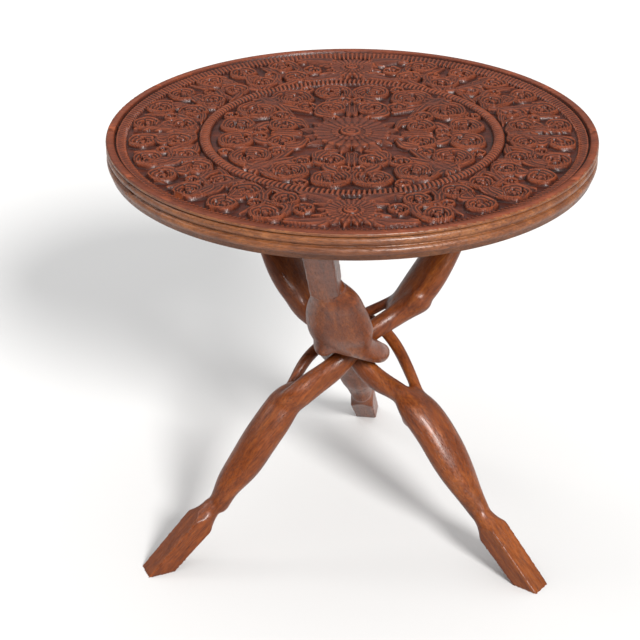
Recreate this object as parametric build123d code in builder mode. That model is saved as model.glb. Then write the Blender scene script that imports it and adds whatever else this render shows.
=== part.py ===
from build123d import *
import math
import os

# Round carved side table on three interlocking folding legs.  All sizes in mm.
# +Z is up, the floor is z = 0, the origin is on the floor under the middle of the top.
# The front of the table is the -Y side.

# --- overall -------------------------------------------------------------------
TABLE_HEIGHT = 474.0
TOP_RADIUS = 250.0
TOP_THICKNESS = 28.0
TOP_UNDERSIDE = TABLE_HEIGHT - TOP_THICKNESS

# --- top: zones of the upper face, as radii --------------------------------------
RIM_INNER = 241.0
COVE_INNER = 229.0
COVE_DEPTH = 4.0
GROUND_DEPTH = 6.5
ROPE_OUTER = 155.0
ROPE_INNER = 145.0
ROPE_DROP = 1.0
BOSS_RADIUS = 13.0
BOSS_DROP = 1.5

# --- top: moulded edge -----------------------------------------------------------
# a thin bead under the rim, two rounded bands, and an undercut below them
GROOVE_RADIUS = 246.4
GROOVE_WIDTH = 1.4
BEAD_HEIGHT = 3.4
BAND_HEIGHT = 8.6
UNDERCUT_RADIUS = 247.0

# --- top: boards, battens, screws ------------------------------------------------
SAW_MARGIN = 10.0
BOARD_WIDTH = 125.0
BATTEN_X = 95.0
BATTEN_WIDTH = 30.0
BATTEN_THICKNESS = 16.0
BATTEN_LENGTH = 380.0
BATTEN_CHAMFER = 5.0
SCREW_Y = (-170.0, -62.5, 62.5, 170.0)
SCREW_SHANK = 4.0
SCREW_HEAD = 8.0
SCREW_HEAD_HEIGHT = 2.4
SCREW_LENGTH = 26.0
SLOT_WIDTH = 1.2
SLOT_DEPTH = 1.0

# --- legs ------------------------------------------------------------------------
CROSS_HEIGHT = 233.0
LEG_TILT = 45.3
SEAT_DEPTH = 3.0
SEAT_GAP = 1.0
SEAT_RUN_IN = 5.0
LEG_END_Z = TOP_UNDERSIDE + SEAT_DEPTH
AZIMUTH_A = -66.0
AZIMUTH_B = 54.0
AZIMUTH_C = 172.6
FOOT_END = -365.0
FOOT_TOP = -262.0
WAIST_LOW = -237.0
NECK_BASE = 198.0
WAIST_HIGH = 172.0
NECK_END = 330.0
FOOT_WIDTH_TOP = 28.0
FOOT_WIDTH_END = 24.0
FOOT_DEPTH_TOP = 24.0
FOOT_DEPTH_END = 20.0
NECK_WIDTH = 29.0
NECK_DEPTH = 24.0



def leg_plane(azimuth):
    """Plane at the crossing: X across the leg, Z along the leg from foot to top."""
    a = math.radians(azimuth)
    tilt = math.radians(LEG_TILT)
    across = (math.cos(a), math.sin(a), 0)
    along = (-math.sin(tilt) * math.sin(a), math.sin(tilt) * math.cos(a), math.cos(tilt))
    return Plane(origin=(0, 0, CROSS_HEIGHT), x_dir=across, z_dir=along)


def ovals(plane, rows):
    """One oval section per row (station, across, outward, half width, half depth)."""
    sections = []
    for station, across, outward, half_width, half_depth in rows:
        with BuildSketch(plane.offset(station)) as oval:
            with Locations((across, -outward)):
                Ellipse(half_width, half_depth)
        sections.append(oval.sketch)
    return sections


def loft_rows(plane, rows):
    """One long form of a leg: the calf, or one strand of its eye."""
    loft(sections=ovals(plane, rows))


def carve_leg(azimuth, foot_across, neck, forms):
    """One leg cut from a single billet: square foot, calf, two-strand eye, calf, neck.

    neck holds the neck's across and outward at its base, then at its end."""
    plane = leg_plane(azimuth)
    base_across, base_outward, end_across, end_outward = neck
    with BuildPart() as foot:
        loft(sections=ovals(plane, (
            (WAIST_LOW, foot_across, -1, 11.2, 9.6),
            (WAIST_LOW - 7, foot_across, -1, 12.0, 10.4),
            (WAIST_LOW - 15, foot_across, -1, 14.6, 12.6),
            (FOOT_TOP, foot_across, -1, 20.5, 18.0),
            (FOOT_END, foot_across, -1, 20.5, 18.0),
        )))
        with BuildSketch(plane.offset(FOOT_END)):
            with Locations((foot_across, 1)):
                Rectangle(FOOT_WIDTH_END, FOOT_DEPTH_END)
        with BuildSketch(plane.offset(WAIST_LOW + 5)):
            with Locations((foot_across, 1)):
                Rectangle(FOOT_WIDTH_TOP, FOOT_DEPTH_TOP)
        loft(mode=Mode.INTERSECT)
    with BuildPart() as neck_block:
        loft(sections=ovals(plane, (
            (WAIST_HIGH, base_across, base_outward, 13.2, 11.2),
            (WAIST_HIGH + 9, base_across, base_outward, 14.2, 12.2),
            (NECK_BASE, base_across, base_outward, 19.5, 17.5),
            (NECK_END, end_across, end_outward, 19.5, 17.5),
        )))
        with BuildSketch(plane.offset(WAIST_HIGH - 5)):
            with Locations((base_across, -base_outward)):
                Rectangle(NECK_WIDTH, NECK_DEPTH)
        with BuildSketch(plane.offset(NECK_END)):
            with Locations((end_across, -end_outward)):
                Rectangle(NECK_WIDTH, NECK_DEPTH)
        loft(mode=Mode.INTERSECT)
    with BuildPart() as leg:
        for rows in forms:
            loft_rows(plane, rows)
        add(foot.part)
        add(neck_block.part)
        split(bisect_by=Plane.XY, keep=Keep.TOP)
        split(bisect_by=Plane.XY.offset(LEG_END_Z), keep=Keep.BOTTOM)
    return leg


# Rows: station from the crossing towards the top, across, outward, half width, half depth.
# The two strands of each eye part where the calves end and let the other legs through.
LOWER_CALF_A = (
    (-238, 12, -1, 11.6, 10.0),
    (-215, 12, 1, 15.0, 12.5),
    (-190, 12, 4, 20.0, 15.5),
    (-165, 12, 7, 22.5, 17.5),
    (-140, 11, 10.5, 22.5, 18.0),
    (-115, 9, 12.5, 22.0, 18.0),
    (-95, 7, 13.5, 20.0, 16.0),
    (-82, 6, 11.5, 15.5, 12.5),
    (-72, 5.5, 9.5, 10.0, 9.0),
)

LOWER_CALF_B = (
    (-238, 12, -1, 11.6, 10.0),
    (-215, 12.5, 1, 15.5, 12.5),
    (-190, 13, 4, 21.0, 15.5),
    (-165, 13.5, 7, 24.0, 17.5),
    (-140, 13.5, 10, 24.5, 17.5),
    (-115, 12, 11.5, 24.5, 17.0),
    (-97, 10, 11, 22.5, 14.0),
    (-86, 9, 9.5, 17.0, 10.5),
    (-78, 8, 8, 11.0, 8.0),
)

LOWER_CALF_C = (
    (-238, 8, -1, 11.6, 10.0),
    (-215, 8, 1, 15.0, 12.5),
    (-190, 8, 4, 20.0, 15.5),
    (-165, 8, 7, 22.5, 17.5),
    (-140, 8, 10.5, 22.5, 18.0),
    (-115, 7.5, 12.5, 22.0, 18.0),
    (-95, 7, 13.5, 20.0, 16.0),
    (-82, 6, 11.5, 15.5, 12.5),
    (-72, 5.5, 9.5, 10.0, 9.0),
)

UPPER_CALF_A = (
    (46, 5, -18, 11.0, 9.0),
    (56, 6, -20, 18.0, 12.0),
    (70, 7, -21, 23.0, 14.5),
    (92, 9, -19, 26.0, 16.0),
    (120, 10, -14, 25.5, 15.5),
    (150, 11, -8, 19.5, 13.5),
    (174, 12, -5, 13.4, 11.4),
)

UPPER_CALF_B = (
    (46, 2, -27, 12.0, 9.0),
    (56, 2, -28, 17.0, 12.0),
    (70, 2, -27, 22.0, 13.5),
    (92, 3, -24, 26.0, 15.0),
    (120, 4, -18.5, 26.0, 14.5),
    (150, 7, -14.5, 20.0, 13.0),
    (174, 10, -12, 13.4, 12.0),
)

UPPER_CALF_C = (
    (26, -23, -20, 12.0, 9.0),
    (36, -17, -21.5, 19.0, 11.5),
    (48, -9.5, -22, 25.5, 13.0),
    (60, -4, -22, 29.0, 14.0),
    (76, -0.5, -21.5, 32.0, 15.0),
    (96, -0.5, -20, 34.0, 16.0),
    (120, 0.5, -15, 33.0, 16.0),
    (150, 0.5, -9.5, 28.0, 14.2),
    (174, 2, -6, 22.0, 12.8),
    (192, 4, -5, 17.0, 11.8),
)

FRONT_STRAND_A = (
    (-120, 13, 12, 9.0, 13.0),
    (-95, 17, 16.5, 11.0, 16.5),
    (-65, 21, 13, 11.5, 16.0),
    (-40, 23, 7.5, 11.0, 14.5),
    (-20, 22, 4, 10.5, 12.5),
    (0, 17, 0, 10.5, 11.0),
    (20, 15, -5, 10.5, 11.5),
    (40, 15, -12, 10.5, 13.0),
    (65, 17, -19.5, 12.0, 15.0),
    (90, 15, -20, 10.0, 13.0),
)

BACK_STRAND_A = (
    (-120, 0, 11, 6.0, 6.0),
    (-95, -7, 13, 7.0, 7.0),
    (-65, -20, 8, 6.5, 6.5),
    (-40, -29, 3.5, 6.5, 6.5),
    (-20, -34, -4, 6.5, 6.5),
    (0, -33, -8, 6.5, 6.5),
    (20, -28, -11, 6.5, 6.5),
    (40, -20.5, -15, 6.5, 6.5),
    (65, -10, -20, 7.0, 7.0),
    (90, -6, -20, 6.0, 6.0),
)

FRONT_STRAND_B = (
    (-120, 10, 11, 10.0, 9.0),
    (-95, 7, 7, 11.0, 11.5),
    (-65, 5, -2, 11.0, 14.5),
    (-40, 2, -9.5, 11.0, 12.8),
    (-20, 1, -11, 10.5, 11.2),
    (0, 1, -14.5, 11.0, 11.0),
    (20, -1, -18.5, 11.0, 12.5),
    (40, -3, -24, 12.0, 14.0),
    (65, -4, -29, 13.0, 14.0),
    (90, -4, -28, 13.0, 13.0),
)

BACK_STRAND_B = (
    (-120, 16, 10, 7.0, 7.0),
    (-95, 24, 11.5, 7.5, 7.5),
    (-65, 36, 9.5, 6.7, 6.7),
    (-40, 45, 6, 6.5, 6.5),
    (-20, 50, 1, 6.5, 6.5),
    (0, 50, -5, 6.5, 6.5),
    (20, 44, -12, 6.5, 6.5),
    (40, 32, -19, 6.5, 6.5),
    (65, 17, -28, 8.0, 8.0),
    (90, 10, -28, 7.0, 7.0),
)

LEFT_STRAND_C = (
    (-120, 10, 12, 7.0, 7.0),
    (-95, 17, 14, 9.5, 9.5),
    (-65, 17, 3, 9.5, 9.5),
    (-40, 17.5, -8.5, 9.0, 9.5),
    (-20, 20.5, -16.5, 8.3, 8.5),
    (0, 23.5, -18, 8.3, 8.5),
    (20, 23, -19, 8.8, 9.0),
    (40, 21, -24, 9.5, 10.0),
    (65, 19, -28, 12.0, 12.0),
    (90, 14, -24, 12.0, 12.0),
)

RIGHT_STRAND_C = (
    (-120, 0, 12, 8.0, 8.0),
    (-95, -5, 14, 10.0, 10.0),
    (-65, -15, 6, 10.0, 10.0),
    (-40, -23, -1, 9.5, 9.5),
    (-20, -30, -8, 10.0, 10.3),
    (0, -33.5, -15, 10.8, 11.2),
    (20, -31.5, -20, 12.0, 12.2),
    (40, -24.5, -23, 13.5, 13.5),
    (65, -14, -25, 14.0, 14.0),
    (90, -8, -22, 12.0, 12.0),
)

# each neck: across and outward at its base, across and outward at its end
NECK_A = (12, -5, 12, -5)
NECK_B = (10, -12, 10, -5)
NECK_C = (7.5, -5, -0.5, -5)

leg_a = carve_leg(AZIMUTH_A, 12, NECK_A, (LOWER_CALF_A, UPPER_CALF_A, FRONT_STRAND_A, BACK_STRAND_A))
leg_b = carve_leg(AZIMUTH_B, 12, NECK_B, (LOWER_CALF_B, UPPER_CALF_B, FRONT_STRAND_B, BACK_STRAND_B))
leg_c = carve_leg(AZIMUTH_C, 8, NECK_C, (LOWER_CALF_C, UPPER_CALF_C, LEFT_STRAND_C, RIGHT_STRAND_C))

# --- top ------------------------------------------------------------------------
LEG_SEATS = ((AZIMUTH_A, NECK_A), (AZIMUTH_B, NECK_B), (AZIMUTH_C, NECK_C))


def seat_box(azimuth, neck):
    """Shallow seat in the underside for one leg end, as centre, turn and sizes."""
    a = math.radians(azimuth)
    tilt = math.radians(LEG_TILT)
    base_across, base_outward, end_across, end_outward = neck
    slope = (end_outward - base_outward) / (NECK_END - WAIST_HIGH)
    rise = LEG_END_Z - CROSS_HEIGHT - (base_outward - slope * WAIST_HIGH) * math.sin(tilt)
    station = rise / (math.cos(tilt) + slope * math.sin(tilt))
    outward = base_outward + slope * (station - WAIST_HIGH)
    across = base_across + (end_across - base_across) * (station - WAIST_HIGH) / (NECK_END - WAIST_HIGH)
    reach = station * math.sin(tilt) - outward * math.cos(tilt)
    half_run = NECK_DEPTH / 2 / math.cos(tilt) + SEAT_DEPTH * math.tan(tilt) / 2
    reach = reach - SEAT_RUN_IN / 2 - SEAT_DEPTH * math.tan(tilt) / 2
    x = -reach * math.sin(a) + across * math.cos(a)
    y = reach * math.cos(a) + across * math.sin(a)
    length = 2 * half_run + 2 * SEAT_GAP + SEAT_RUN_IN
    return (x, y), azimuth, NECK_WIDTH + 2 * SEAT_GAP, length


def moulding_roll(start_radius, low, high):
    """A rounded band of the edge moulding, drawn upwards and ending in the groove above it."""
    middle = (low + high) / 2
    ThreePointArc((start_radius, low), (TOP_RADIUS, middle), (GROOVE_RADIUS, high))


def top_board(index):
    """One of the four edge-glued boards of the round top, front board first."""
    y_low = (index - 2) * BOARD_WIDTH
    past_front = SAW_MARGIN if index == 0 else 0
    past_back = SAW_MARGIN if index == 3 else 0
    ground = TABLE_HEIGHT - GROUND_DEPTH
    bead = TABLE_HEIGHT - BEAD_HEIGHT
    upper_band = bead - GROOVE_WIDTH - BAND_HEIGHT
    lower_band = upper_band - GROOVE_WIDTH - BAND_HEIGHT
    with BuildPart() as board:
        with BuildSketch(Plane.XZ):
            with BuildLine():
                Polyline(
                    (0, TOP_UNDERSIDE),
                    (UNDERCUT_RADIUS, TOP_UNDERSIDE),
                    (UNDERCUT_RADIUS, lower_band),
                )
                moulding_roll(UNDERCUT_RADIUS, lower_band, lower_band + BAND_HEIGHT)
                Line((GROOVE_RADIUS, lower_band + BAND_HEIGHT), (GROOVE_RADIUS, upper_band))
                moulding_roll(GROOVE_RADIUS, upper_band, upper_band + BAND_HEIGHT)
                Line((GROOVE_RADIUS, upper_band + BAND_HEIGHT), (GROOVE_RADIUS, bead))
                ThreePointArc(
                    (GROOVE_RADIUS, bead),
                    (TOP_RADIUS, bead + BEAD_HEIGHT / 2),
                    (TOP_RADIUS - BEAD_HEIGHT / 2, TABLE_HEIGHT),
                )
                Line((TOP_RADIUS - BEAD_HEIGHT / 2, TABLE_HEIGHT), (RIM_INNER, TABLE_HEIGHT))
                ThreePointArc(
                    (RIM_INNER, TABLE_HEIGHT),
                    ((RIM_INNER + COVE_INNER) / 2 + 1.5, TABLE_HEIGHT - COVE_DEPTH + 1.2),
                    (COVE_INNER, TABLE_HEIGHT - COVE_DEPTH),
                )
                Polyline(
                    (COVE_INNER, TABLE_HEIGHT - COVE_DEPTH),
                    (COVE_INNER - 1, ground),
                    (ROPE_OUTER + 1, ground),
                )
                ThreePointArc(
                    (ROPE_OUTER + 1, ground),
                    ((ROPE_OUTER + ROPE_INNER) / 2, TABLE_HEIGHT - ROPE_DROP),
                    (ROPE_INNER - 1, ground),
                )
                Line((ROPE_INNER - 1, ground), (BOSS_RADIUS, ground))
                ThreePointArc(
                    (BOSS_RADIUS, ground),
                    (BOSS_RADIUS * 0.7, TABLE_HEIGHT - BOSS_DROP - 1.6),
                    (0, TABLE_HEIGHT - BOSS_DROP),
                )
                Line((0, TABLE_HEIGHT - BOSS_DROP), (0, TOP_UNDERSIDE))
            make_face()
        revolve(axis=Axis.Z)
        with Locations((0, y_low + (BOARD_WIDTH + past_back - past_front) / 2, TABLE_HEIGHT)):
            Box(
                2.2 * TOP_RADIUS,
                BOARD_WIDTH + past_front + past_back,
                3 * TOP_THICKNESS,
                mode=Mode.INTERSECT,
            )
        for centre, turn, width, length in [seat_box(*seat) for seat in LEG_SEATS]:
            with BuildSketch(Plane.XY.offset(TOP_UNDERSIDE)):
                with Locations(Location((centre[0], centre[1], 0), (0, 0, turn))):
                    Rectangle(width, length)
            extrude(amount=SEAT_DEPTH, mode=Mode.SUBTRACT)
        for x in (-BATTEN_X, BATTEN_X):
            for y in SCREW_Y:
                with Locations((x, y, TOP_UNDERSIDE)):
                    Cylinder(SCREW_SHANK / 2, 2 * (SCREW_LENGTH - BATTEN_THICKNESS), mode=Mode.SUBTRACT)
    return board


board_front = top_board(0)
board_front_middle = top_board(1)
board_back_middle = top_board(2)
board_back = top_board(3)


def batten(x):
    """Cross batten under the boards, with chamfered lower edges and screw holes."""
    low = TOP_UNDERSIDE - BATTEN_THICKNESS
    with BuildPart() as bar:
        with Locations((x, 0, low + BATTEN_THICKNESS / 2)):
            Box(BATTEN_WIDTH, BATTEN_LENGTH, BATTEN_THICKNESS)
        chamfer(bar.faces().sort_by(Axis.Z)[0].edges(), BATTEN_CHAMFER)
        for y in SCREW_Y:
            with Locations((x, y, low + BATTEN_THICKNESS / 2)):
                Cylinder(SCREW_SHANK / 2, BATTEN_THICKNESS, mode=Mode.SUBTRACT)
            with Locations((x, y, low + SCREW_HEAD_HEIGHT / 2)):
                Cone(SCREW_HEAD / 2, SCREW_SHANK / 2, SCREW_HEAD_HEIGHT, mode=Mode.SUBTRACT)
    return bar


batten_left = batten(-BATTEN_X)
batten_right = batten(BATTEN_X)

# eight equal countersunk wood screws, driven up through the battens
with BuildPart() as batten_screws:
    head_low = TOP_UNDERSIDE - BATTEN_THICKNESS
    for x in (-BATTEN_X, BATTEN_X):
        for y in SCREW_Y:
            with Locations((x, y, head_low + SCREW_HEAD_HEIGHT / 2)):
                Cone(SCREW_HEAD / 2, SCREW_SHANK / 2, SCREW_HEAD_HEIGHT)
            with Locations((x, y, head_low + SCREW_LENGTH / 2)):
                Cylinder(SCREW_SHANK / 2, SCREW_LENGTH)
            with Locations((x, y, head_low)):
                Box(SCREW_HEAD + 1, SLOT_WIDTH, 2 * SLOT_DEPTH, mode=Mode.SUBTRACT)

os.makedirs("parts", exist_ok=True)

board_front.part.label = "board_front"
export_step(board_front.part, "parts/board_front.step")
board_front_middle.part.label = "board_front_middle"
export_step(board_front_middle.part, "parts/board_front_middle.step")
board_back_middle.part.label = "board_back_middle"
export_step(board_back_middle.part, "parts/board_back_middle.step")
board_back.part.label = "board_back"
export_step(board_back.part, "parts/board_back.step")
batten_left.part.label = "batten_left"
export_step(batten_left.part, "parts/batten_left.step")
batten_right.part.label = "batten_right"
export_step(batten_right.part, "parts/batten_right.step")
batten_screws.part.label = "batten_screws"
export_step(batten_screws.part, "parts/batten_screws.step")
leg_a.part.label = "leg_a"
export_step(leg_a.part, "parts/leg_a.step")
leg_b.part.label = "leg_b"
export_step(leg_b.part, "parts/leg_b.step")
leg_c.part.label = "leg_c"
export_step(leg_c.part, "parts/leg_c.step")
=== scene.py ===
"""The looks of a folding tripod side table with a carved round top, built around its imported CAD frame."""

import math

import bmesh
import bpy
import numpy as np
from mathutils import Matrix, Vector


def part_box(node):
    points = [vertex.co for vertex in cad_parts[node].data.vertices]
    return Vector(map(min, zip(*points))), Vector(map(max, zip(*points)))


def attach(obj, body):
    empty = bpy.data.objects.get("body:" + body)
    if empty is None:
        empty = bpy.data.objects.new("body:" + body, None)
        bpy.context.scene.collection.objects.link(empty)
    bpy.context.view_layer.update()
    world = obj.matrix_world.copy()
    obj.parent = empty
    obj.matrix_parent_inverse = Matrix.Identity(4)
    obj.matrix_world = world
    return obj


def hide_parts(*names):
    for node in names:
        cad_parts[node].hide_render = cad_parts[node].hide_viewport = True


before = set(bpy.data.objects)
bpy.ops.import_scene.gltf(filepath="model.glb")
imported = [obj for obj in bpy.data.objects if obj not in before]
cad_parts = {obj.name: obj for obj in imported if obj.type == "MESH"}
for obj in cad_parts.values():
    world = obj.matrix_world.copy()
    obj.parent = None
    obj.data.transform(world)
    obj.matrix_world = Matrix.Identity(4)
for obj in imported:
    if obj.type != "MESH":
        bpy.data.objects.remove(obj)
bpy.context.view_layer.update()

MM = 0.001
BOARDS = ("board_front", "board_front_middle", "board_back_middle", "board_back")
LEGS = {"leg_a": "left_leg", "leg_b": "right_leg", "leg_c": "back_leg"}
LEG_AZIMUTH = {"leg_a": -66.0, "leg_b": 54.0, "leg_c": 172.6}  # degrees from the front, towards the right
LEG_TILT = math.radians(45.3)
CROSS_HEIGHT = 233.0  # where the legs pass each other, in millimetres above the floor
JOIN_STATIONS = (-95, 66)  # where the calves part into strands, along the leg from the crossing
JOIN_WIDTH = 24
SEAT_END = 285  # the station where the neck enters the top
FOOT_TOP = -250
LEG_VOXEL = 1.5
JOIN_ROUNDS = 36
EVEN_ROUNDS = 24

# The carving, in millimetres. RIM_TOP is above the floor. Every other height is measured from the flat rim,
# so the carved ones are below zero. FIELD_EDGE, RIB_INNER and RING_MIDDLE are distances from the centre.
RIM_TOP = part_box("board_front")[1].z / MM
TOP_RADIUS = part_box("board_front_middle")[1].x / MM
GROUND = -7.2
HOLE_FLOOR = -9.8
FIELD_EDGE = 241.4
RIB_INNER = 229.5
RING_MIDDLE = 150.0
RING_HALF = 5.8
RIB_COUNT = 300
BEAD_COUNT = 190
RASTER = 0.4  # spacing of the heights that are worked out
GRID = 0.8  # spacing of the mesh that is cut with them
BLANK_OVERLAP = 1.5  # how far the wood that fills the sunk field runs into the rim


# ---------------------------------------------------------------- carving raster


def eased(start, middle, end, s):
    """A parabola through start at s=0, middle at s=0.5 and end at s=1."""
    return start * (1 - s) * (1 - 2 * s) + 4 * middle * s * (1 - s) + end * s * (2 * s - 1)


def spline(points, count=18):
    """A Catmull-Rom curve through a few points."""
    p = np.asarray(points, float)
    p = np.vstack([2 * p[0] - p[1], p, 2 * p[-1] - p[-2]])
    spans = len(p) - 3
    out = []
    for i in range(1, spans + 1):
        for t in np.linspace(0, 1, count // spans + 1, endpoint=False):
            a = 2 * p[i]
            b = p[i + 1] - p[i - 1]
            c = 2 * p[i - 1] - 5 * p[i] + 4 * p[i + 1] - p[i + 2]
            d = 3 * p[i] - p[i - 1] - 3 * p[i + 1] + p[i + 2]
            out.append(0.5 * (a + b * t + c * t * t + d * t**3))
    out.append(p[-2])
    return np.array(out)


def polar(radius, degrees):
    a = math.radians(degrees)
    return np.array([radius * math.cos(a), radius * math.sin(a)])


class Carving:
    """Heights on a square grid. Every tool stroke keeps the higher of itself and what is there."""

    def __init__(self):
        self.reach = TOP_RADIUS + 4
        self.size = int(2 * self.reach / RASTER) + 1
        self.axis = np.linspace(-self.reach, self.reach, self.size)
        self.height = np.full((self.size, self.size), GROUND)

    def window(self, points, pad):
        points = np.atleast_2d(points)
        low = ((points.min(0) - pad + self.reach) / RASTER).astype(int)
        high = ((points.max(0) + pad + self.reach) / RASTER).astype(int) + 2
        low = np.clip(low, 0, self.size - 2)
        high = np.clip(high, 2, self.size)
        rows, columns = slice(low[1], high[1]), slice(low[0], high[0])
        return (rows, columns), self.axis[columns][None, :], self.axis[rows][:, None]

    def raise_to(self, where, new, inside):
        old = self.height[where]
        self.height[where] = np.where(inside & (new > old), new, old)

    def stroke(self, points, half_width, top, combs=0, comb_depth=0.22, crown=0.5):
        """A tapering ridge. half_width and top each give start, middle and end."""
        points = np.asarray(points, float)
        runs = np.diff(points, axis=0)
        lengths = np.hypot(runs[:, 0], runs[:, 1]) + 1e-9
        starts = np.concatenate([[0], np.cumsum(lengths)[:-1]])
        where, x, y = self.window(points, max(half_width) + 1)
        nearest = np.full((y.shape[0], x.shape[1]), 1e9)
        along = np.zeros_like(nearest)
        side = np.zeros_like(nearest)
        for start, run, length, offset in zip(points, runs, lengths, starts):
            dx, dy = x - start[0], y - start[1]
            t = np.clip((dx * run[0] + dy * run[1]) / length**2, 0, 1)
            gap = (dx - t * run[0]) ** 2 + (dy - t * run[1]) ** 2
            closer = gap < nearest
            nearest = np.where(closer, gap, nearest)
            along = np.where(closer, (offset + t * length) / lengths.sum(), along)
            side = np.where(closer, np.sign(run[0] * dy - run[1] * dx), side)
        u = np.sqrt(nearest) / np.maximum(eased(*half_width, along), 0.05)
        shape = np.power(np.clip(1 - u * u, 0, 1), crown)
        if combs:
            groove = 0.5 + 0.5 * np.cos(math.pi * combs * (u * side + 1))
            shape = shape * (1 - comb_depth * groove * (u < 0.93))
        self.raise_to(where, GROUND + (eased(*top, along) - GROUND) * shape, u < 1)

    def drill(self, centre, radius, floor):
        """A tapered hole down to floor."""
        where, x, y = self.window(centre, radius * 1.8)
        u = np.hypot(x - centre[0], y - centre[1]) / radius
        old = self.height[where]
        sloped = floor + (np.clip(u, 0.75, 1.6) - 0.75) * 7.0
        self.height[where] = np.where(u < 1.6, np.minimum(old, sloped), old)


def curl(work, rng, centre, radius, spin, start, root=None, top=-0.6):
    """A hollow curled leaf: a rim that winds in on itself, combed inside, holed round its eye."""
    begin = math.radians(start)
    if root is not None:
        outward = np.array([math.cos(begin), math.sin(begin)])
        onward = spin * np.array([-math.sin(begin), math.cos(begin)])
        joint = centre + 0.78 * radius * outward
        path = [root, joint - 0.75 * radius * onward + 0.12 * radius * outward, joint + 0.1 * radius * onward]
        plume(work, path, (0.14 * radius, 0.26 * radius, 0.22 * radius), top=top - 0.7)
    where, x, y = work.window(centre, radius * 1.15)
    dx, dy = x - centre[0], y - centre[1]
    angle = np.mod(spin * (np.arctan2(dy, dx) - begin), 2 * math.pi)
    wave = 1 + 0.03 * np.cos(5 * angle + rng.uniform(0, 6))
    reach = np.hypot(dx, dy) / (radius * wave)
    tight = 0.42
    inward = 1.0 - reach - tight * angle / (2 * math.pi)
    pitch = 3.1 / radius
    comb = 0.5 + 0.5 * np.cos(2 * math.pi * (inward - 0.4 * pitch) / pitch)
    height = top - 7.4 * np.clip(inward, 0, 1) ** 0.85 - 1.5 * (1 - comb)
    height = height - 1.6 * np.clip(0.05 - inward, 0, 1) / 0.05
    leaflet = np.abs(np.sin(2.5 * angle + 5.0 * inward + rng.uniform(0, 3)))
    height = np.where((leaflet < 0.22) & (inward > 0.15), height - 1.8, height)
    hole = (leaflet < 0.55) & (inward > 0.27) & (inward < 0.50) & (reach > 0.2)
    height = np.where(hole, HOLE_FLOOR, height)
    height = np.where(reach < 0.15, np.maximum(height, top - 2.2 - 9.0 * reach), height)
    skirt = top - 0.9 + 2.4 * radius * inward
    old = work.height[where]
    work.height[where] = np.where(inward > 0, height, np.maximum(old, skirt))


def leaf(work, base, tip, half_width, bend=0.0, top=-0.8, lobes=4):
    """A pointed leaf with a split mid rib and side lobes that point at its tip."""
    base, tip = np.asarray(base, float), np.asarray(tip, float)
    run = tip - base
    across = np.array([-run[1], run[0]])
    ahead, aside = run / np.hypot(*run), across / np.hypot(*run)
    for k in range(lobes):
        share = 0.12 + 0.62 * k / max(lobes - 1, 1)
        root = base + run * share + across * bend * math.sin(math.pi * share)
        reach = half_width * (1.5 - 0.7 * share)
        for hand in (-1, 1):
            middle = root + ahead * reach * 0.35 + aside * hand * reach * 0.7
            end = root + ahead * reach * 1.15 + aside * hand * reach * 0.95
            widths = (half_width * 0.34, half_width * 0.36, half_width * 0.08)
            work.stroke(spline([root, middle, end], 8), widths, (top - 1.4, top - 1.1, top - 2.6), combs=1)
    path = [base + run * q + across * bend * math.sin(math.pi * q) for q in np.linspace(0, 1, 12)]
    work.stroke(path, (half_width * 0.6, half_width, half_width * 0.06), (top - 0.8, top, top - 0.8), combs=2)


def plume(work, points, half_width, top=-1.2):
    """A combed stem that carries the scrolls."""
    work.stroke(spline(points), half_width, (top - 0.9, top, top - 1.6), combs=3, comb_depth=0.26, crown=0.45)


def flower(work, centre, size, top=-0.6):
    """A spiral boss in a fan of narrow petals, over a crown of pointed leaves with holes between."""
    for k in range(16):
        far = 1.0 if k % 2 else 0.9
        path = [centre + polar(r * size, 22.5 * k + 11.25) for r in (0.55, 0.78, far)]
        widths = (0.085 * size, 0.12 * size, 0.02 * size)
        work.stroke(path, widths, (top - 2.4, top - 1.5, top - 3.0), combs=1)
        work.drill(centre + polar(0.86 * size, 22.5 * k), 0.035 * size, HOLE_FLOOR)
    where, x, y = work.window(centre, size)
    x, y = x - centre[0], y - centre[1]
    angle = np.arctan2(y, x)
    reach = np.hypot(x, y) / size
    petal = np.abs(np.cos(13 * angle))
    edge = 0.69 + 0.055 * petal
    share = np.clip((reach - 0.27) / (edge - 0.27), 0, 1)
    fan = top - 2.6 + 2.4 * share**0.8 - 1.7 * (1 - petal**0.6) - 0.9 * np.clip(share - 0.9, 0, 1) / 0.1
    old = work.height[where]
    height = np.where(reach < edge, fan, old)
    collar = np.abs(np.cos(10 * angle))
    height = np.where(reach < 0.36 + 0.03 * collar, top - 0.6 - 1.3 * (1 - collar**0.6), height)
    spiral = 0.5 + 0.5 * np.cos(angle + 4.6 * math.pi * reach / 0.23)
    boss = top + 0.5 - 1.7 * spiral * (reach > 0.035)
    groove = np.exp(-(((reach - 0.24) / 0.022) ** 2))
    height = np.where(reach < 0.25, boss, height) - 2.2 * groove
    work.height[where] = height


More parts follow.
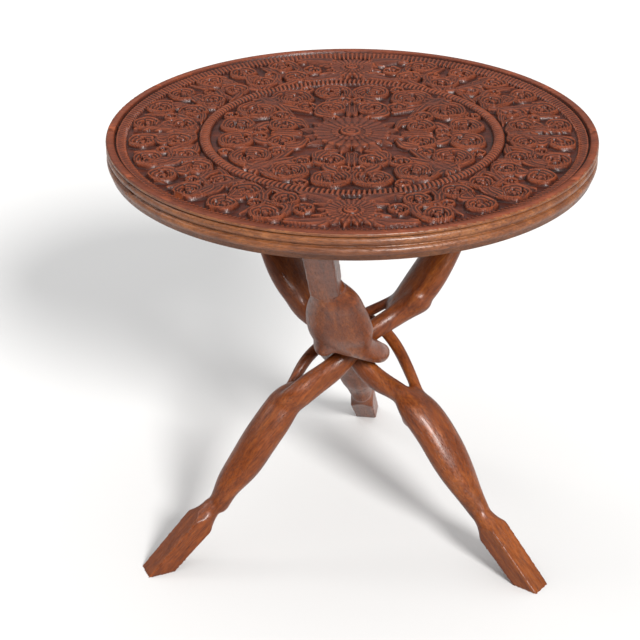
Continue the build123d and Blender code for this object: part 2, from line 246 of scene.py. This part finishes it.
def inner_field(work, rng):
    """Four groups of mirrored curls about the middle flower, with leaf tips between the groups."""
    reach = TOP_RADIUS
    for quarter in range(4):
        axis = 90.0 * quarter
        leaf(work, polar(0.44 * reach, axis + 45), polar(0.567 * reach, axis + 45), 9.5, lobes=2, top=-1.0)
        for hand in (-1, 1):
            def at(r, offset):
                return polar(r * reach, axis + hand * offset)
            plume(work, [at(0.21, 27), at(0.29, 27), at(0.34, 25)], (3.0, 5.5, 2.0), top=-1.8)
            plume(work, [at(0.21, 4), at(0.27, 2), at(0.33, 2)], (2.5, 4.0, 1.0), top=-1.8)
            curl(work, rng, at(0.462, 32.5), 0.099 * reach, -hand, axis + hand * 75, at(0.30, 36))
            curl(work, rng, at(0.470, 10.8), 0.094 * reach, hand, axis + hand * 215, at(0.30, 12))
            curl(work, rng, at(0.290, 16.5), 0.073 * reach, -hand, axis + hand * 100, at(0.19, 18), top=-1.0)
            curl(work, rng, at(0.352, 34.0), 0.052 * reach, hand, axis + hand * 250, top=-1.3)
            curl(work, rng, at(0.545, 21.5), 0.038 * reach, hand, axis + hand * 120, top=-1.7)
            curl(work, rng, at(0.375, 5.2), 0.040 * reach, -hand, axis + hand * 40, top=-1.6)


def side_flower(work, axis):
    """A smaller flower in the outer field, between flat pointed leaves."""
    reach = TOP_RADIUS
    for hand in (-1, 1):
        base, tip = polar(0.70 * reach, axis + hand * 3), polar(0.640 * reach, axis + hand * 19)
        leaf(work, base, tip, 11.0, bend=0.10 * hand, lobes=2, top=-1.0)
        base, tip = polar(0.84 * reach, axis + hand * 4), polar(0.900 * reach, axis + hand * 16.5)
        leaf(work, base, tip, 9.5, bend=-0.10 * hand, lobes=2, top=-1.0)
        eye = polar(0.765 * reach, axis + hand * 13)
        curl(work, np.random.default_rng(5), eye, 0.05 * reach, hand, axis, top=-1.2)
    flower(work, polar(0.773 * reach, axis), 0.132 * reach, top=-0.9)


def outer_field(work, rng):
    """Pairs of curls carried on combed stems, running both ways between the two side flowers."""
    reach = TOP_RADIUS
    for axis in (90.0, 270.0):
        side_flower(work, axis)
    for side in (0.0, 180.0):
        for step in range(-3, 3):
            offset = 12.3 + 24.6 * step
            hand = 1 if offset > 0 else -1
            middle = side + offset

            def at(r, turn):
                return polar(r * reach, middle + hand * turn)

            leaf(work, at(0.645, -11.5), at(0.90, -14.5), 6.0, bend=-0.10 * hand, top=-1.2, lobes=4)
            plume(work, [at(0.632, -9), at(0.70, 0), at(0.78, 2.5), at(0.89, 1)], (3.0, 6.0, 1.5), top=-1.6)
            plume(work, [at(0.632, -2), at(0.66, 6), at(0.74, 11), at(0.84, 12)], (2.5, 5.0, 1.5), top=-1.8)
            curl(work, rng, at(0.850, -5.6), 0.073 * reach, hand, middle + hand * 200, at(0.74, -9))
            curl(work, rng, at(0.846, 6.6), 0.077 * reach, -hand, middle + hand * 110, at(0.74, 5))
            curl(work, rng, at(0.708, -5.2), 0.070 * reach, -hand, middle - hand * 60, at(0.64, -10))
            curl(work, rng, at(0.703, 7.4), 0.068 * reach, hand, middle - hand * 20, at(0.64, 0), top=-0.9)
            curl(work, rng, at(0.778, 0.8), 0.036 * reach, hand, middle + hand * 30, top=-1.6)


def bands(work):
    """The rope ring, the ribbed slope inside the rim, and the step up to the rim."""
    x, y = work.axis[None, :], work.axis[:, None]
    radius, angle = np.hypot(x, y), np.arctan2(y, x)
    height = work.height
    u = (radius - RING_MIDDLE) / RING_HALF
    bead = np.abs(np.cos(angle * BEAD_COUNT / 2 + 0.5 * u))
    ring = GROUND + 1.6 + 4.4 * np.sqrt(np.clip(1 - u * u, 0, 1)) * (0.2 + 0.8 * bead**0.7)
    height = np.where(np.abs(u) < 1.28, np.minimum(height, GROUND + 0.3), height)
    height = np.where(np.abs(u) < 1, ring, height)
    u = np.clip((radius - RIB_INNER) / (FIELD_EDGE - RIB_INNER), 0, 1)
    rib = np.abs(np.cos(angle * RIB_COUNT / 2))
    slope = -4.4 + 3.2 * u - 2.6 * (1 - rib) ** 0.9 * np.clip(1.15 - u, 0, 1) * np.clip((1.02 - u) * 8, 0, 1)
    slope = np.where((u < 0.24) & (rib < 0.62), HOLE_FLOOR + 1.0, slope)
    groove = 2.4 * np.clip(1.3 - np.abs(radius - (FIELD_EDGE - 1.0)) / 1.0, 0, 1)
    height = np.where(radius > RIB_INNER - 2.5, np.minimum(height, GROUND + 0.2), height)
    height = np.where(radius > RIB_INNER, slope - groove, height)
    edge = np.clip((radius - FIELD_EDGE) / 1.2, 0, 1)
    work.height = np.where(radius > FIELD_EDGE, -1.2 + 1.8 * edge, height)


def carved_heights():
    rng = np.random.default_rng(11)
    work = Carving()
    inner_field(work, rng)
    flower(work, np.zeros(2), 0.215 * TOP_RADIUS)
    outer_field(work, rng)
    bands(work)
    return work


# ---------------------------------------------------------------- mesh helpers


def mesh_object(name, vertices, faces):
    mesh = bpy.data.meshes.new(name)
    mesh.from_pydata([tuple(v) for v in vertices], [], faces)
    obj = bpy.data.objects.new(name, mesh)
    bpy.context.scene.collection.objects.link(obj)
    return obj


def grid_object(name, points, quads):
    """A quad mesh from numpy arrays, made without python lists."""
    mesh = bpy.data.meshes.new(name)
    mesh.vertices.add(len(points))
    mesh.vertices.foreach_set("co", points.astype(np.float32).ravel())
    mesh.loops.add(quads.size)
    mesh.loops.foreach_set("vertex_index", quads.astype(np.int32).ravel())
    mesh.polygons.add(len(quads))
    mesh.polygons.foreach_set("loop_start", np.arange(0, quads.size, 4, dtype=np.int32))
    mesh.update(calc_edges=True)
    mesh.validate()
    obj = bpy.data.objects.new(name, mesh)
    bpy.context.scene.collection.objects.link(obj)
    return obj


def drop(obj):
    mesh = obj.data
    bpy.data.objects.remove(obj)
    bpy.data.meshes.remove(mesh)


def baked(obj, name):
    """A new object holding obj's evaluated mesh; obj goes."""
    bpy.context.view_layer.update()
    graph = bpy.context.evaluated_depsgraph_get()
    mesh = bpy.data.meshes.new_from_object(obj.evaluated_get(graph))
    mesh.name = name
    drop(obj)
    piece = bpy.data.objects.new(name, mesh)
    bpy.context.scene.collection.objects.link(piece)
    return piece


def cad_copy(node, name):
    """A welded copy of a CAD node's mesh."""
    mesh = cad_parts[node].data.copy()
    mesh.name = name
    bm = bmesh.new()
    bm.from_mesh(mesh)
    bmesh.ops.remove_doubles(bm, verts=bm.verts, dist=2e-6)
    bm.to_mesh(mesh)
    bm.free()
    mesh.materials.clear()
    obj = bpy.data.objects.new(name, mesh)
    bpy.context.scene.collection.objects.link(obj)
    return obj


def combine(obj, other, operation, name):
    tool = obj.modifiers.new(operation, "BOOLEAN")
    tool.operation = operation
    tool.object = other
    tool.solver = "MANIFOLD"
    result = baked(obj, name)
    drop(other)
    return result


def shade(obj, angle):
    obj.data.polygons.foreach_set("use_smooth", np.ones(len(obj.data.polygons), bool))
    obj.data.set_sharp_from_angle(angle=math.radians(angle))


def sampled(work, x, y):
    """Carving heights at x, y in millimetres, between raster points."""
    fx, fy = (x + work.reach) / RASTER, (y + work.reach) / RASTER
    ix, iy = np.clip(fx.astype(int), 0, work.size - 2), np.clip(fy.astype(int), 0, work.size - 2)
    tx, ty = np.clip(fx - ix, 0, 1), np.clip(fy - iy, 0, 1)
    h = work.height
    low = h[iy, ix] * (1 - tx) + h[iy, ix + 1] * tx
    high = h[iy + 1, ix] * (1 - tx) + h[iy + 1, ix + 1] * tx
    return low * (1 - ty) + high * ty


# ---------------------------------------------------------------- carved boards


def blank(front, back):
    """The wood that fills a board's sunk field, before carving."""
    radius = FIELD_EDGE + BLANK_OVERLAP
    outline = []
    for y0, y1 in ((front, back), (back, front)):
        hand = 1 if y0 < y1 else -1
        for y in np.linspace(y0, y1, 60):
            half = math.sqrt(max(radius**2 - y * y, 0.01))
            outline.append((hand * half, y))
    bottom, top = RIM_TOP + GROUND - 4, RIM_TOP
    count = len(outline)
    vertices = [(x * MM, y * MM, z * MM) for z in (bottom, top) for x, y in outline]
    faces = [tuple(reversed(range(count))), tuple(range(count, 2 * count))]
    faces += [(i, (i + 1) % count, count + (i + 1) % count, count + i) for i in range(count)]
    return mesh_object("blank", vertices, faces)


def gouge(work, front, back):
    """The waste that the carver takes off a board: a solid whose underside is the carving."""
    margin = 2.0
    half = math.sqrt(max((FIELD_EDGE + 3) ** 2 - min(abs(front), abs(back)) ** 2 * (front * back > 0), 1.0))
    xs = np.arange(-half, half + GRID, GRID)
    ys = np.arange(front - margin, back + margin + GRID, GRID)
    x, y = np.meshgrid(xs, ys)
    low = RIM_TOP + sampled(work, x, y)
    rows, columns = x.shape
    index = np.arange(rows * columns).reshape(rows, columns)
    near = np.hypot(x, y)
    cells = np.minimum.reduce([near[:-1, :-1], near[1:, :-1], near[:-1, 1:], near[1:, 1:]]) < FIELD_EDGE + 2.2
    corner = [index[:-1, :-1][cells], index[:-1, 1:][cells], index[1:, 1:][cells], index[1:, :-1][cells]]
    under = np.stack(corner, 1)
    shift = rows * columns
    over = np.stack([corner[3], corner[2], corner[1], corner[0]], 1) + shift
    # side walls stand on the cell edges that have no cell beyond them
    padded = np.pad(cells, 1)
    walls = []
    sides = (
        (-1, 0, (0, 0), (0, 1)),
        (1, 0, (1, 1), (1, 0)),
        (0, -1, (1, 0), (0, 0)),
        (0, 1, (0, 1), (1, 1)),
    )
    for dr, dc, a, b in sides:
        open_side = cells & ~padded[1 + dr : 1 + dr + cells.shape[0], 1 + dc : 1 + dc + cells.shape[1]]
        r, c = np.nonzero(open_side)
        first, second = index[r + a[0], c + a[1]], index[r + b[0], c + b[1]]
        walls.append(np.stack([second, first, first + shift, second + shift], 1))
    quads = np.vstack([under[:, ::-1], over[:, ::-1]] + walls)
    lower = np.stack([x.ravel(), y.ravel(), low.ravel()], 1)
    upper = np.stack([x.ravel(), y.ravel(), np.full(x.size, RIM_TOP + 8.0)], 1)
    points = np.vstack([lower, upper]) * MM
    used, quads = np.unique(quads, return_inverse=True)
    obj = grid_object("gouge", points[used], quads.reshape(-1, 4))
    bm = bmesh.new()
    bm.from_mesh(obj.data)
    bmesh.ops.recalc_face_normals(bm, faces=bm.faces)
    bm.to_mesh(obj.data)
    bm.free()
    return obj


def carved_board(node, work, carved, edge):
    low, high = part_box(node)
    front, back = low.y / MM, high.y / MM
    board = cad_copy(node, "board")
    field = FIELD_EDGE + BLANK_OVERLAP
    board = combine(board, blank(max(front, -field), min(back, field)), "UNION", "board")
    board = combine(board, gouge(work, front, back), "DIFFERENCE", "carved_" + node)
    mesh = board.data
    mesh.materials.clear()
    mesh.materials.append(carved)
    mesh.materials.append(edge)
    # the moulded edge and the underside take the lighter wood
    centres = np.empty(len(mesh.polygons) * 3)
    mesh.polygons.foreach_get("center", centres)
    centres = centres.reshape(-1, 3) / MM
    outside = (centres[:, 2] < RIM_TOP - 0.6) & (np.hypot(centres[:, 0], centres[:, 1]) > FIELD_EDGE + 2)
    outside |= centres[:, 2] < RIM_TOP + GROUND - 3
    mesh.polygons.foreach_set("material_index", outside.astype(np.int32))
    shade(board, 48)
    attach(board, "top")
    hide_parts(node)
    return board


# ---------------------------------------------------------------- legs


def leg_frame(leg):
    """The leg's own axes: along it from foot to top, across it, and outwards."""
    turn = math.radians(LEG_AZIMUTH[leg])
    towards_foot = Vector((math.sin(turn), -math.cos(turn), 0))
    across = Vector((math.cos(turn), math.sin(turn), 0))
    up = Vector((0, 0, 1))
    along = -math.sin(LEG_TILT) * towards_foot + math.cos(LEG_TILT) * up
    outward = math.cos(LEG_TILT) * towards_foot + math.sin(LEG_TILT) * up
    return along, across, outward


def smoothed(points, edges, weights):
    """Points moved towards the mean of their neighbours, by one weight per point in each round."""
    count = len(points)
    degree = np.bincount(edges.ravel(), minlength=count)[:, None]
    for weight in weights:
        total = np.zeros_like(points)
        for axis in range(3):
            total[:, axis] = np.bincount(edges[:, 0], points[edges[:, 1], axis], count)
            total[:, axis] += np.bincount(edges[:, 1], points[edges[:, 0], axis], count)
        points = points + (total / degree - points) * weight[:, None]
    return points


def carved_leg(leg, body, material):
    piece = cad_copy(leg, "leg")
    tool = piece.modifiers.new("remesh", "REMESH")
    tool.mode = "VOXEL"
    tool.voxel_size = LEG_VOXEL * MM
    piece = baked(piece, "carved_" + leg)
    mesh = piece.data
    points = np.empty(len(mesh.vertices) * 3)
    mesh.vertices.foreach_get("co", points)
    points = points.reshape(-1, 3)
    edges = np.empty(len(mesh.edges) * 2, dtype=np.int32)
    mesh.edges.foreach_get("vertices", edges)
    edges = edges.reshape(-1, 2)
    along, across, outward = (np.array(v) for v in leg_frame(leg))
    t = (points - np.array((0, 0, CROSS_HEIGHT * MM))) @ along / MM
    # the sole and the seat end keep their places, and the foot is evened less than the rest
    free = np.clip(points[:, 2] / MM / 4 - 0.4, 0, 1) * np.clip((SEAT_END - t) / 15, 0, 1)
    free = free * np.clip(0.55 + (t - FOOT_TOP) / 30, 0.55, 1)
    # the joins of calf and strands are rounded first, then the whole leg is evened without thinning it
    joins = sum(np.exp(-(((t - station) / JOIN_WIDTH) ** 2)) for station in JOIN_STATIONS)
    points = smoothed(points, edges, [0.6 * joins * free] * JOIN_ROUNDS)
    points = smoothed(points, edges, [0.6 * free, -0.62 * free] * EVEN_ROUNDS)
    mesh.vertices.foreach_set("co", points.ravel())
    mesh.update()
    mesh.materials.clear()
    mesh.materials.append(material)
    shade(piece, 70)
    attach(piece, body)
    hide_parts(leg)
    return piece


# ---------------------------------------------------------------- materials


class Nodes:
    """A short way to write a material's node tree."""

    def __init__(self, name):
        self.material = bpy.data.materials.new(name)
        self.material.use_nodes = True
        self.tree = self.material.node_tree
        self.shader = self.tree.nodes["Principled BSDF"]

    def add(self, kind, inputs=None, **settings):
        node = self.tree.nodes.new("ShaderNode" + kind)
        for key, value in settings.items():
            setattr(node, key, value)
        for key, value in (inputs or {}).items():
            socket = node.inputs[key]
            if isinstance(value, bpy.types.NodeSocket):
                self.tree.links.new(value, socket)
            else:
                socket.default_value = value
        return node

    def ramp(self, factor, stops):
        node = self.add("ValToRGB", {"Fac": factor})
        band = node.color_ramp
        while len(band.elements) < len(stops):
            band.elements.new(0.5)
        for element, (position, colour) in zip(band.elements, stops):
            element.position = position
            element.color = (*colour, 1)
        return node.outputs["Color"]

    def math(self, operation, a, b=0.0, clamp=False):
        node = self.add("Math", {0: a, 1: b}, operation=operation)
        node.use_clamp = clamp
        return node.outputs[0]

    def mix(self, factor, a, b, blend="MIX"):
        node = self.add("Mix", data_type="RGBA", blend_type=blend)
        for socket, value in ((node.inputs[0], factor), (node.inputs[6], a), (node.inputs[7], b)):
            if isinstance(value, bpy.types.NodeSocket):
                self.tree.links.new(value, socket)
            else:
                socket.default_value = value
        return node.outputs[2]

    def noise(self, vector, scale, detail=3.0, roughness=0.5, distortion=0.0):
        inputs = {"Vector": vector, "Scale": scale, "Detail": detail, "Roughness": roughness}
        inputs["Distortion"] = distortion
        return self.add("TexNoise", inputs).outputs["Fac"]

    def stretched(self, vector, scale):
        return self.add("Mapping", {"Vector": vector, "Scale": scale}).outputs["Vector"]


def srgb(red, green, blue):
    """A linear colour from 0-255 display values."""
    channels = [c / 255 for c in (red, green, blue)]
    return tuple(c / 12.92 if c <= 0.04045 else ((c + 0.055) / 1.055) ** 2.4 for c in channels)


def wood(name, dark, middle, light, turn=(0, 0, 0), rough=0.36, wear_and_painted_shade=0.0, coat=0.25, grain=0.5, shine=0.4):
    """Varnished open-grained wood whose grain runs along the turned X axis. An optional weight paints shade
    into sunk parts and creases and wears corners light.
    """
    n = Nodes(name)
    place = n.add("TexCoord").outputs["Object"]
    place = n.add("Mapping", {"Vector": place, "Rotation": turn}).outputs["Vector"]
    sway = n.noise(n.stretched(place, (3.0, 9.0, 9.0)), 1.0, 2.0)
    figure = n.noise(n.stretched(place, (2.2, 46.0, 46.0)), 1.0, 5.0, 0.62, 0.6)
    streak = n.noise(n.stretched(place, (9.0, 260.0, 260.0)), 1.0, 4.0, 0.6)
    pores = n.noise(n.stretched(place, (75.0, 1500.0, 1500.0)), 1.0, 2.0, 0.5)
    blotch = n.noise(place, 22.0, 3.0, 0.55)
    tone = n.math("ADD", n.math("MULTIPLY", figure, 0.62), n.math("MULTIPLY", streak, 0.38))
    colour = n.ramp(tone, [(0.30, dark), (0.50, middle), (0.72, light)])
    rings = n.math("SINE", n.math("MULTIPLY", n.math("ADD", sway, n.math("MULTIPLY", figure, 0.15)), 85.0))
    line = n.math("MULTIPLY", n.math("GREATER_THAN", rings, 0.55), 0.22)
    colour = n.mix(line, colour, (*dark, 1))
    colour = n.mix(n.math("MULTIPLY", blotch, 0.5), colour, (*[c * 0.72 for c in dark], 1))
    pit = n.ramp(pores, [(0.33, (1, 1, 1)), (0.42, (0, 0, 0))])
    flecks = n.noise(n.stretched(place, (110.0, 620.0, 620.0)), 1.0, 3.0, 0.7)
    fleck = n.ramp(flecks, [(0.36, (0.62, 0.56, 0.5)), (0.52, (1, 1, 1)), (0.68, (1.22, 1.2, 1.16))])
    colour = n.mix(0.85, colour, fleck, "MULTIPLY")
    colour = n.mix(n.math("MULTIPLY", pit, grain), colour, (*[c * 0.35 for c in dark], 1))
    if wear_and_painted_shade:
        # painted shade: the deeper the cut, the darker and browner the colour, down to near black in the
        # holes, with a painted sheen on the uppermost surfaces; corners are worn light, and creases get
        # painted shade
        height = n.add("SeparateXYZ", {"Vector": n.add("TexCoord").outputs["Object"]}).outputs["Z"]
        sunk = n.math("MULTIPLY", n.math("SUBTRACT", RIM_TOP * MM, height), 100.0, clamp=True)
        depth_shade_stops = [
            (0.0, (1.22, 1.2, 1.16)),
            (0.25, (0.92, 0.9, 0.88)),
            (0.5, (0.66, 0.57, 0.5)),
            (0.72, (0.66, 0.5, 0.37)),
            (0.8, (0.3, 0.24, 0.2)),
            (0.95, (0.06, 0.05, 0.04)),
        ]
        # painted shade that grows with depth below the rim, and painted sheen at the top
        painted_depth_shade = n.ramp(sunk, depth_shade_stops)
        colour = n.mix(1.0, colour, painted_depth_shade, "MULTIPLY")
        point = n.add("NewGeometry").outputs["Pointiness"]
        worn = n.ramp(point, [(0.50, (0, 0, 0)), (0.57, (1, 1, 1))])
        # painted shade in the concave creases; the convex corners are worn light
        painted_crease_shade = n.ramp(point, [(0.42, (1, 1, 1)), (0.495, (0, 0, 0))])
        colour = n.mix(n.math("MULTIPLY", worn, 0.5 * wear_and_painted_shade), colour, (*[min(c * 1.8, 1) for c in light], 1))
        colour = n.mix(n.math("MULTIPLY", painted_crease_shade, wear_and_painted_shade), colour, (*[c * 0.15 for c in dark], 1))
    n.tree.links.new(colour, n.shader.inputs["Base Color"])
    patchy = n.noise(place, 60.0, 4.0, 0.6)
    roughness = n.math("ADD", n.math("MULTIPLY", patchy, 0.22), rough - 0.11)
    roughness = n.math("ADD", roughness, n.math("MULTIPLY", pit, 0.15), clamp=True)
    n.tree.links.new(roughness, n.shader.inputs["Roughness"])
    n.shader.inputs["Coat Weight"].default_value = coat
    n.shader.inputs["Coat Roughness"].default_value = 0.18
    n.shader.inputs["Specular IOR Level"].default_value = shine
    ripple = n.noise(n.stretched(place, (130.0, 420.0, 420.0)), 1.0, 4.0, 0.65)
    dents = n.noise(place, 60.0, 2.0, 0.5)
    surface = n.math("SUBTRACT", n.math("MULTIPLY", ripple, 0.9), n.math("MULTIPLY", pit, 0.5))
    surface = n.math("ADD", surface, n.math("MULTIPLY", dents, 1.2))
    surface = n.math("ADD", surface, n.math("MULTIPLY", streak, 0.35))
    bump = n.add("Bump", {"Height": surface, "Strength": 0.6, "Distance": 0.0009})
    n.tree.links.new(bump.outputs["Normal"], n.shader.inputs["Normal"])
    return n.material


def steel():
    n = Nodes("screw_steel")
    place = n.add("TexCoord").outputs["Object"]
    spots = n.noise(place, 900.0, 4.0, 0.6)
    colour = n.ramp(spots, [(0.35, srgb(92, 82, 70)), (0.6, srgb(150, 146, 138))])
    n.tree.links.new(colour, n.shader.inputs["Base Color"])
    n.tree.links.new(n.math("ADD", n.math("MULTIPLY", spots, 0.3), 0.25), n.shader.inputs["Roughness"])
    n.shader.inputs["Metallic"].default_value = 1.0
    return n.material


# ---------------------------------------------------------------- the object

CARVED = wood(
    "carved_wood",
    srgb(46, 16, 7),
    srgb(84, 34, 16),
    srgb(116, 56, 29),
    rough=0.4,
    # painted shade in the carving's recesses and creases, with worn light corners
    wear_and_painted_shade=1.0,
    coat=0.08,
    shine=0.2,
)
EDGE = wood(
    "edge_wood",
    srgb(80, 40, 19),
    srgb(124, 72, 37),
    srgb(158, 102, 58),
    rough=0.4,
    coat=0.15,
    grain=0.6,
)
BATTEN = wood(
    "batten_wood",
    srgb(70, 36, 20),
    srgb(112, 66, 38),
    srgb(140, 90, 56),
    turn=(0, 0, math.pi / 2),
    rough=0.6,
    coat=0.0,
)

carving = carved_heights()
for board in BOARDS:
    carved_board(board, carving, CARVED, EDGE)

for leg, leg_body in LEGS.items():
    along_axis = leg_frame(leg)[0]
    to_grain = along_axis.rotation_difference(Vector((1, 0, 0))).to_euler()
    leg_wood = wood(
        "wood_" + leg,
        srgb(66, 26, 7),
        srgb(116, 56, 18),
        srgb(154, 86, 34),
        turn=tuple(to_grain),
        rough=0.36,
        coat=0.12,
        shine=0.26,
    )
    carved_leg(leg, leg_body, leg_wood)

for batten in ("batten_left", "batten_right"):
    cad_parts[batten].material_slots[0].material = BATTEN
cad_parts["batten_screws"].material_slots[0].material = steel()

# ---------------------------------------------------------------- stage, light and camera

FLOOR_HALF = 60.0
corners = [(x * FLOOR_HALF, y * FLOOR_HALF, 0) for x, y in ((-1, -1), (1, -1), (1, 1), (-1, 1))]
floor = mesh_object("floor", corners, [(0, 1, 2, 3)])
paper = Nodes("paper")
paper.shader.inputs["Base Color"].default_value = (0.555, 0.555, 0.555, 1)
paper.shader.inputs["Roughness"].default_value = 1.0
paper.shader.inputs["Specular IOR Level"].default_value = 0.0
floor.data.materials.append(paper.material)

# the sky is bright overhead and dim towards the horizon
world = bpy.data.worlds.new("studio")
world.use_nodes = True
sky = world.node_tree
direction = sky.nodes.new("ShaderNodeTexCoord")
parts = sky.nodes.new("ShaderNodeSeparateXYZ")
climb = sky.nodes.new("ShaderNodeMapRange")
for name, value in (("From Min", 0.0), ("From Max", 1.0), ("To Min", 0.05), ("To Max", 1.5)):
    climb.inputs[name].default_value = value
climb.interpolation_type = "SMOOTHSTEP"
sky.nodes["Background"].inputs["Color"].default_value = (1, 1, 1, 1)
sky.links.new(direction.outputs["Generated"], parts.inputs[0])
sky.links.new(parts.outputs["Z"], climb.inputs["Value"])
sky.links.new(climb.outputs["Result"], sky.nodes["Background"].inputs["Strength"])
bpy.context.scene.world = world


def aim(obj, direction):
    obj.rotation_euler = Vector(direction).to_track_quat("-Z", "Y").to_euler()


def sun(name, energy, spread, colour, direction):
    light = bpy.data.lights.new(name, "SUN")
    light.energy = energy
    light.angle = math.radians(spread)
    light.color = colour
    obj = bpy.data.objects.new(name, light)
    aim(obj, direction)
    bpy.context.scene.collection.objects.link(obj)


# the key comes over the viewer's right shoulder; the small side light only draws glints on the varnish
sun("key", 4.95, 14, (1.0, 0.985, 0.965), (-0.68, 1.36, -1.0))
sun("glint", 0.5, 18, (1.0, 0.98, 0.95), (0.82, -0.22, -0.60))

camera_data = bpy.data.cameras.new("camera")
camera_data.lens = 98.65
camera_data.sensor_width = 36.0
camera = bpy.data.objects.new("camera", camera_data)
CAMERA_PLACE = (0, -1.6714, 1.1423)
VIEW_DROP, VIEW_TURN, VIEW_ROLL = -0.48851, -0.01968, -0.0022  # radians
level = math.cos(VIEW_DROP)
ahead = Vector((level * math.sin(VIEW_TURN), level * math.cos(VIEW_TURN), math.sin(VIEW_DROP)))
right = ahead.cross(Vector((0, 0, 1))).normalized()
upward = right.cross(ahead)
side = right * math.cos(VIEW_ROLL) + upward * math.sin(VIEW_ROLL)
top = upward * math.cos(VIEW_ROLL) - right * math.sin(VIEW_ROLL)
turn = Matrix((side, top, -ahead)).transposed().to_4x4()
camera.matrix_world = Matrix.Translation(CAMERA_PLACE) @ turn
bpy.context.scene.collection.objects.link(camera)
bpy.context.scene.camera = camera
bpy.context.scene.view_settings.view_transform = "Standard"
